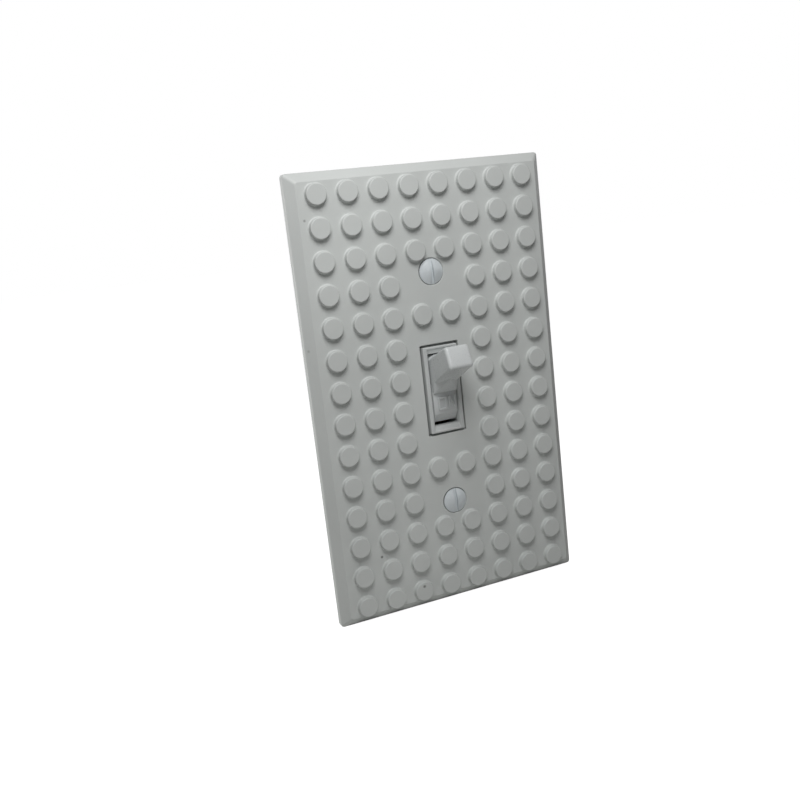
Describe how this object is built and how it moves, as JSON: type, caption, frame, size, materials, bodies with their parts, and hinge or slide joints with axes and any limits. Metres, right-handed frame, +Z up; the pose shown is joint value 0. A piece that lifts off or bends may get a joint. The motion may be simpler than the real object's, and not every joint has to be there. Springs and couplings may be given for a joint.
{
  "type": "toggle light switch with wall plate",
  "caption": "Wall toggle light switch: a bevelled plate covered in round studs, a raised collar, a tilting lever and a rear housing on a steel strap.",
  "frame": {"origin": "middle of the plate's back rim, on the wall plane, half way between the two box screws", "axes": "+Y into the wall along the box screws, +Z up along the plate's long side, +X to the right as seen from the room; the studded face looks along -Y"},
  "size_m": [0.0698, 0.0452, 0.1142],
  "materials": {
    "plate_plastic": "moulded, satin",
    "collar_plastic": "moulded, satin",
    "toggle_plastic": "moulded, smooth",
    "body_plastic": "moulded, matt",
    "screw_paint": "white enamel",
    "zinc_steel": "zinc plated",
    "brass": "stamped",
    "silver": "rivet",
    "fibre": "vulcanised fibre",
    "rubber": "moulded",
    "green_steel": "green dye over zinc"
  },
  "bodies": {
    "housing": {"wall_plate": "plate_plastic", "plate_screws": "screw_paint", "mounting_strap": "zinc_steel", "box_screws": "zinc_steel", "screw_retainers": "fibre", "collar_cover": "collar_plastic", "switch_body": "body_plastic", "strap_rivets": "zinc_steel", "fixed_contact": "silver", "line_terminal": "brass", "load_terminal": "brass", "terminal_screws": "brass", "bumper_pad": "rubber", "ground_terminal": "zinc_steel", "ground_rivet": "zinc_steel", "ground_screw": "green_steel"},
    "toggle": {"toggle_lever": "toggle_plastic", "toggle_spring": "zinc_steel"},
    "contact_arm": {"contact_arm": "brass", "moving_contact": "silver"}
  },
  "joints": [
    {"name": "toggle_pivot", "type": "hinge", "parent": "housing", "child": "toggle", "pos_m": [0, 0.00655, 0], "axis": [1, 0, 0], "range_deg": [0, 46.8], "deforming": ["toggle_spring"]},
    {"name": "contact_pivot", "type": "hinge", "parent": "housing", "child": "contact_arm", "pos_m": [0, 0.0205, 0], "axis": [1, 0, 0], "range_deg": [0, 18]}
  ],
  "couplings": [
    {"joint": "contact_pivot", "follows": "toggle_pivot", "ratio": 0.38462}
  ]
}
